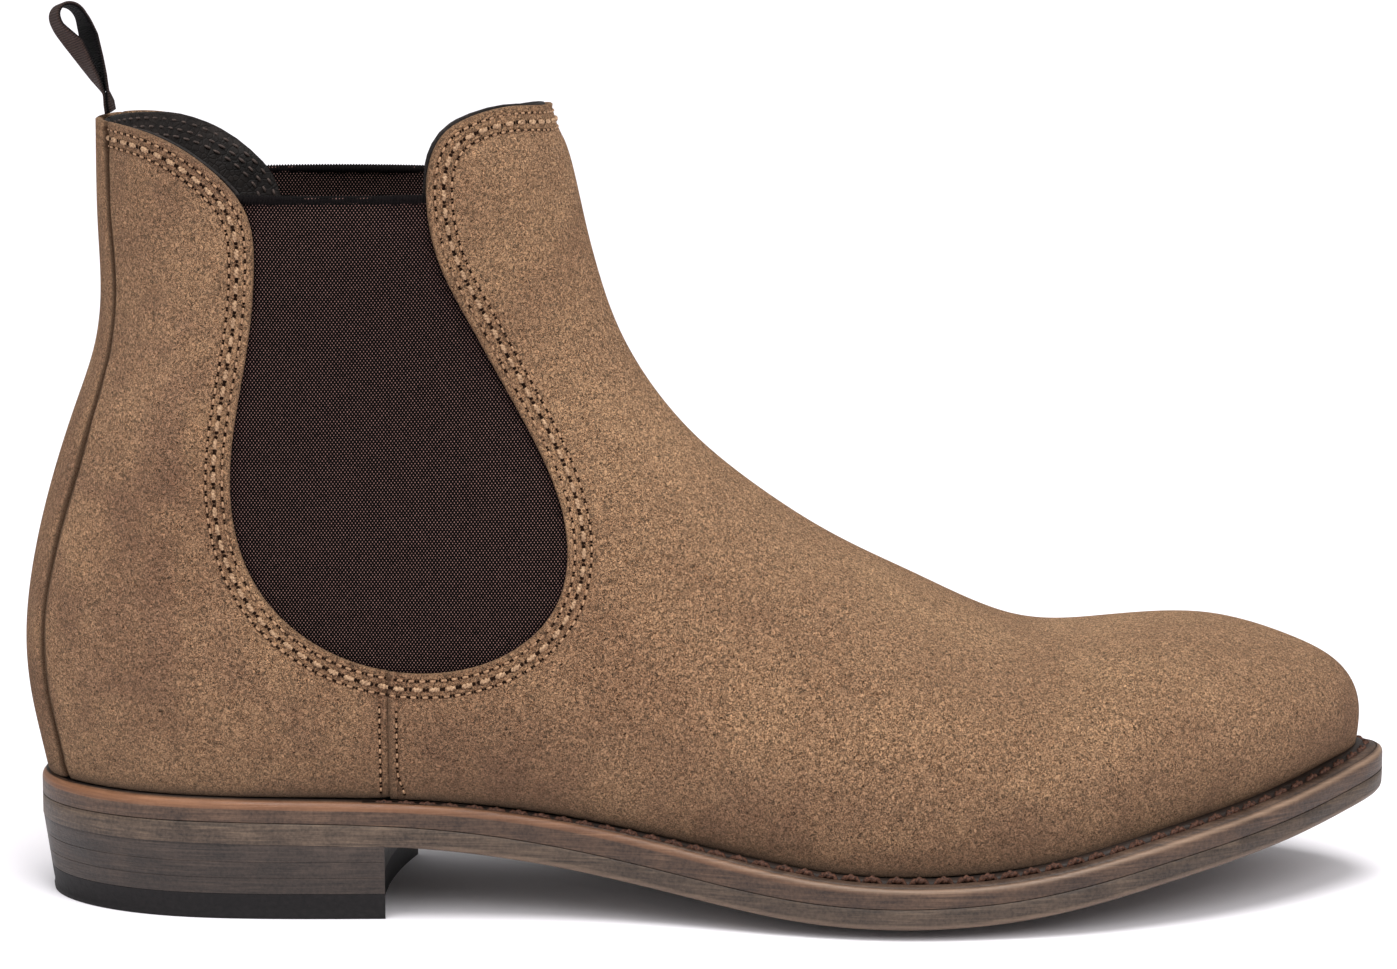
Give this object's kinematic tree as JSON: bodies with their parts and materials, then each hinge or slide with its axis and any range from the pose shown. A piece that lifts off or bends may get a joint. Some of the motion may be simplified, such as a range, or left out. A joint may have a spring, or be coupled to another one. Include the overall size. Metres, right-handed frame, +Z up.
{
  "type": "chelsea boot",
  "caption": "Ankle boot that pulls on: suede upper with elastic side gussets, leather sole on a welt, low stacked heel and a ribbon pull loop at the back.",
  "frame": {"origin": "on the floor, at the middle of the boot's footprint box", "axes": "+X towards the toe, +Z up, -Y towards the outer (lateral) side of this right boot"},
  "size_m": [0.3064, 0.106, 0.2011],
  "materials": {
    "suede_upper": "brown suede, napped, matt",
    "elastic": "dark brown ribbed elastic webbing, matt",
    "lining_leather": "dark smooth leather, semi-matt",
    "ribbon": "dark brown woven ribbon, matt",
    "welt_leather": "brown waxed leather edge, satin",
    "outsole_leather": "stained leather edge, satin",
    "stack_leather": "stained stacked leather, satin",
    "rubber_top_lift": "black-brown rubber, matt",
    "thread": "dark brown twisted waxed thread",
    "insole_board": "natural leather board, matt",
    "cork": "cork, matt",
    "stiffener": "impregnated stiffener cloth, matt",
    "steel": "spring steel, plain",
    "brass": "brass nail, plain"
  },
  "bodies": {
    "boot": {"vamp": "suede_upper", "quarter_lateral": "suede_upper", "quarter_medial": "suede_upper", "back_strip": "suede_upper", "gusset_lateral": "elastic", "gusset_medial": "elastic", "heel_counter": "stiffener", "toe_puff": "stiffener", "lining_vamp": "lining_leather", "lining_quarters": "lining_leather", "welt": "welt_leather", "heel_rand": "welt_leather", "welt_stitch": "thread", "insole_board": "insole_board", "sock_liner": "lining_leather", "cork_filler": "cork", "shank": "steel", "top_lift": "rubber_top_lift", "heel_lift_3": "stack_leather", "heel_lift_2": "stack_leather", "heel_lift_1": "stack_leather", "heel_nail_1": "brass", "heel_nail_2": "brass", "heel_nail_3": "brass", "heel_nail_4": "brass", "heel_nail_5": "brass", "outsole": "outsole_leather"},
    "pull_loop": {"pull_loop": "ribbon"}
  },
  "joints": [
    {"name": "pull_loop_flop", "type": "hinge", "parent": "boot", "child": "pull_loop", "pos_m": [-0.1331, 0, 0.1757], "axis": [0, 1, 0], "range_deg": [-60, 95], "stiffness_Nm_per_rad": 0.004}
  ]
}
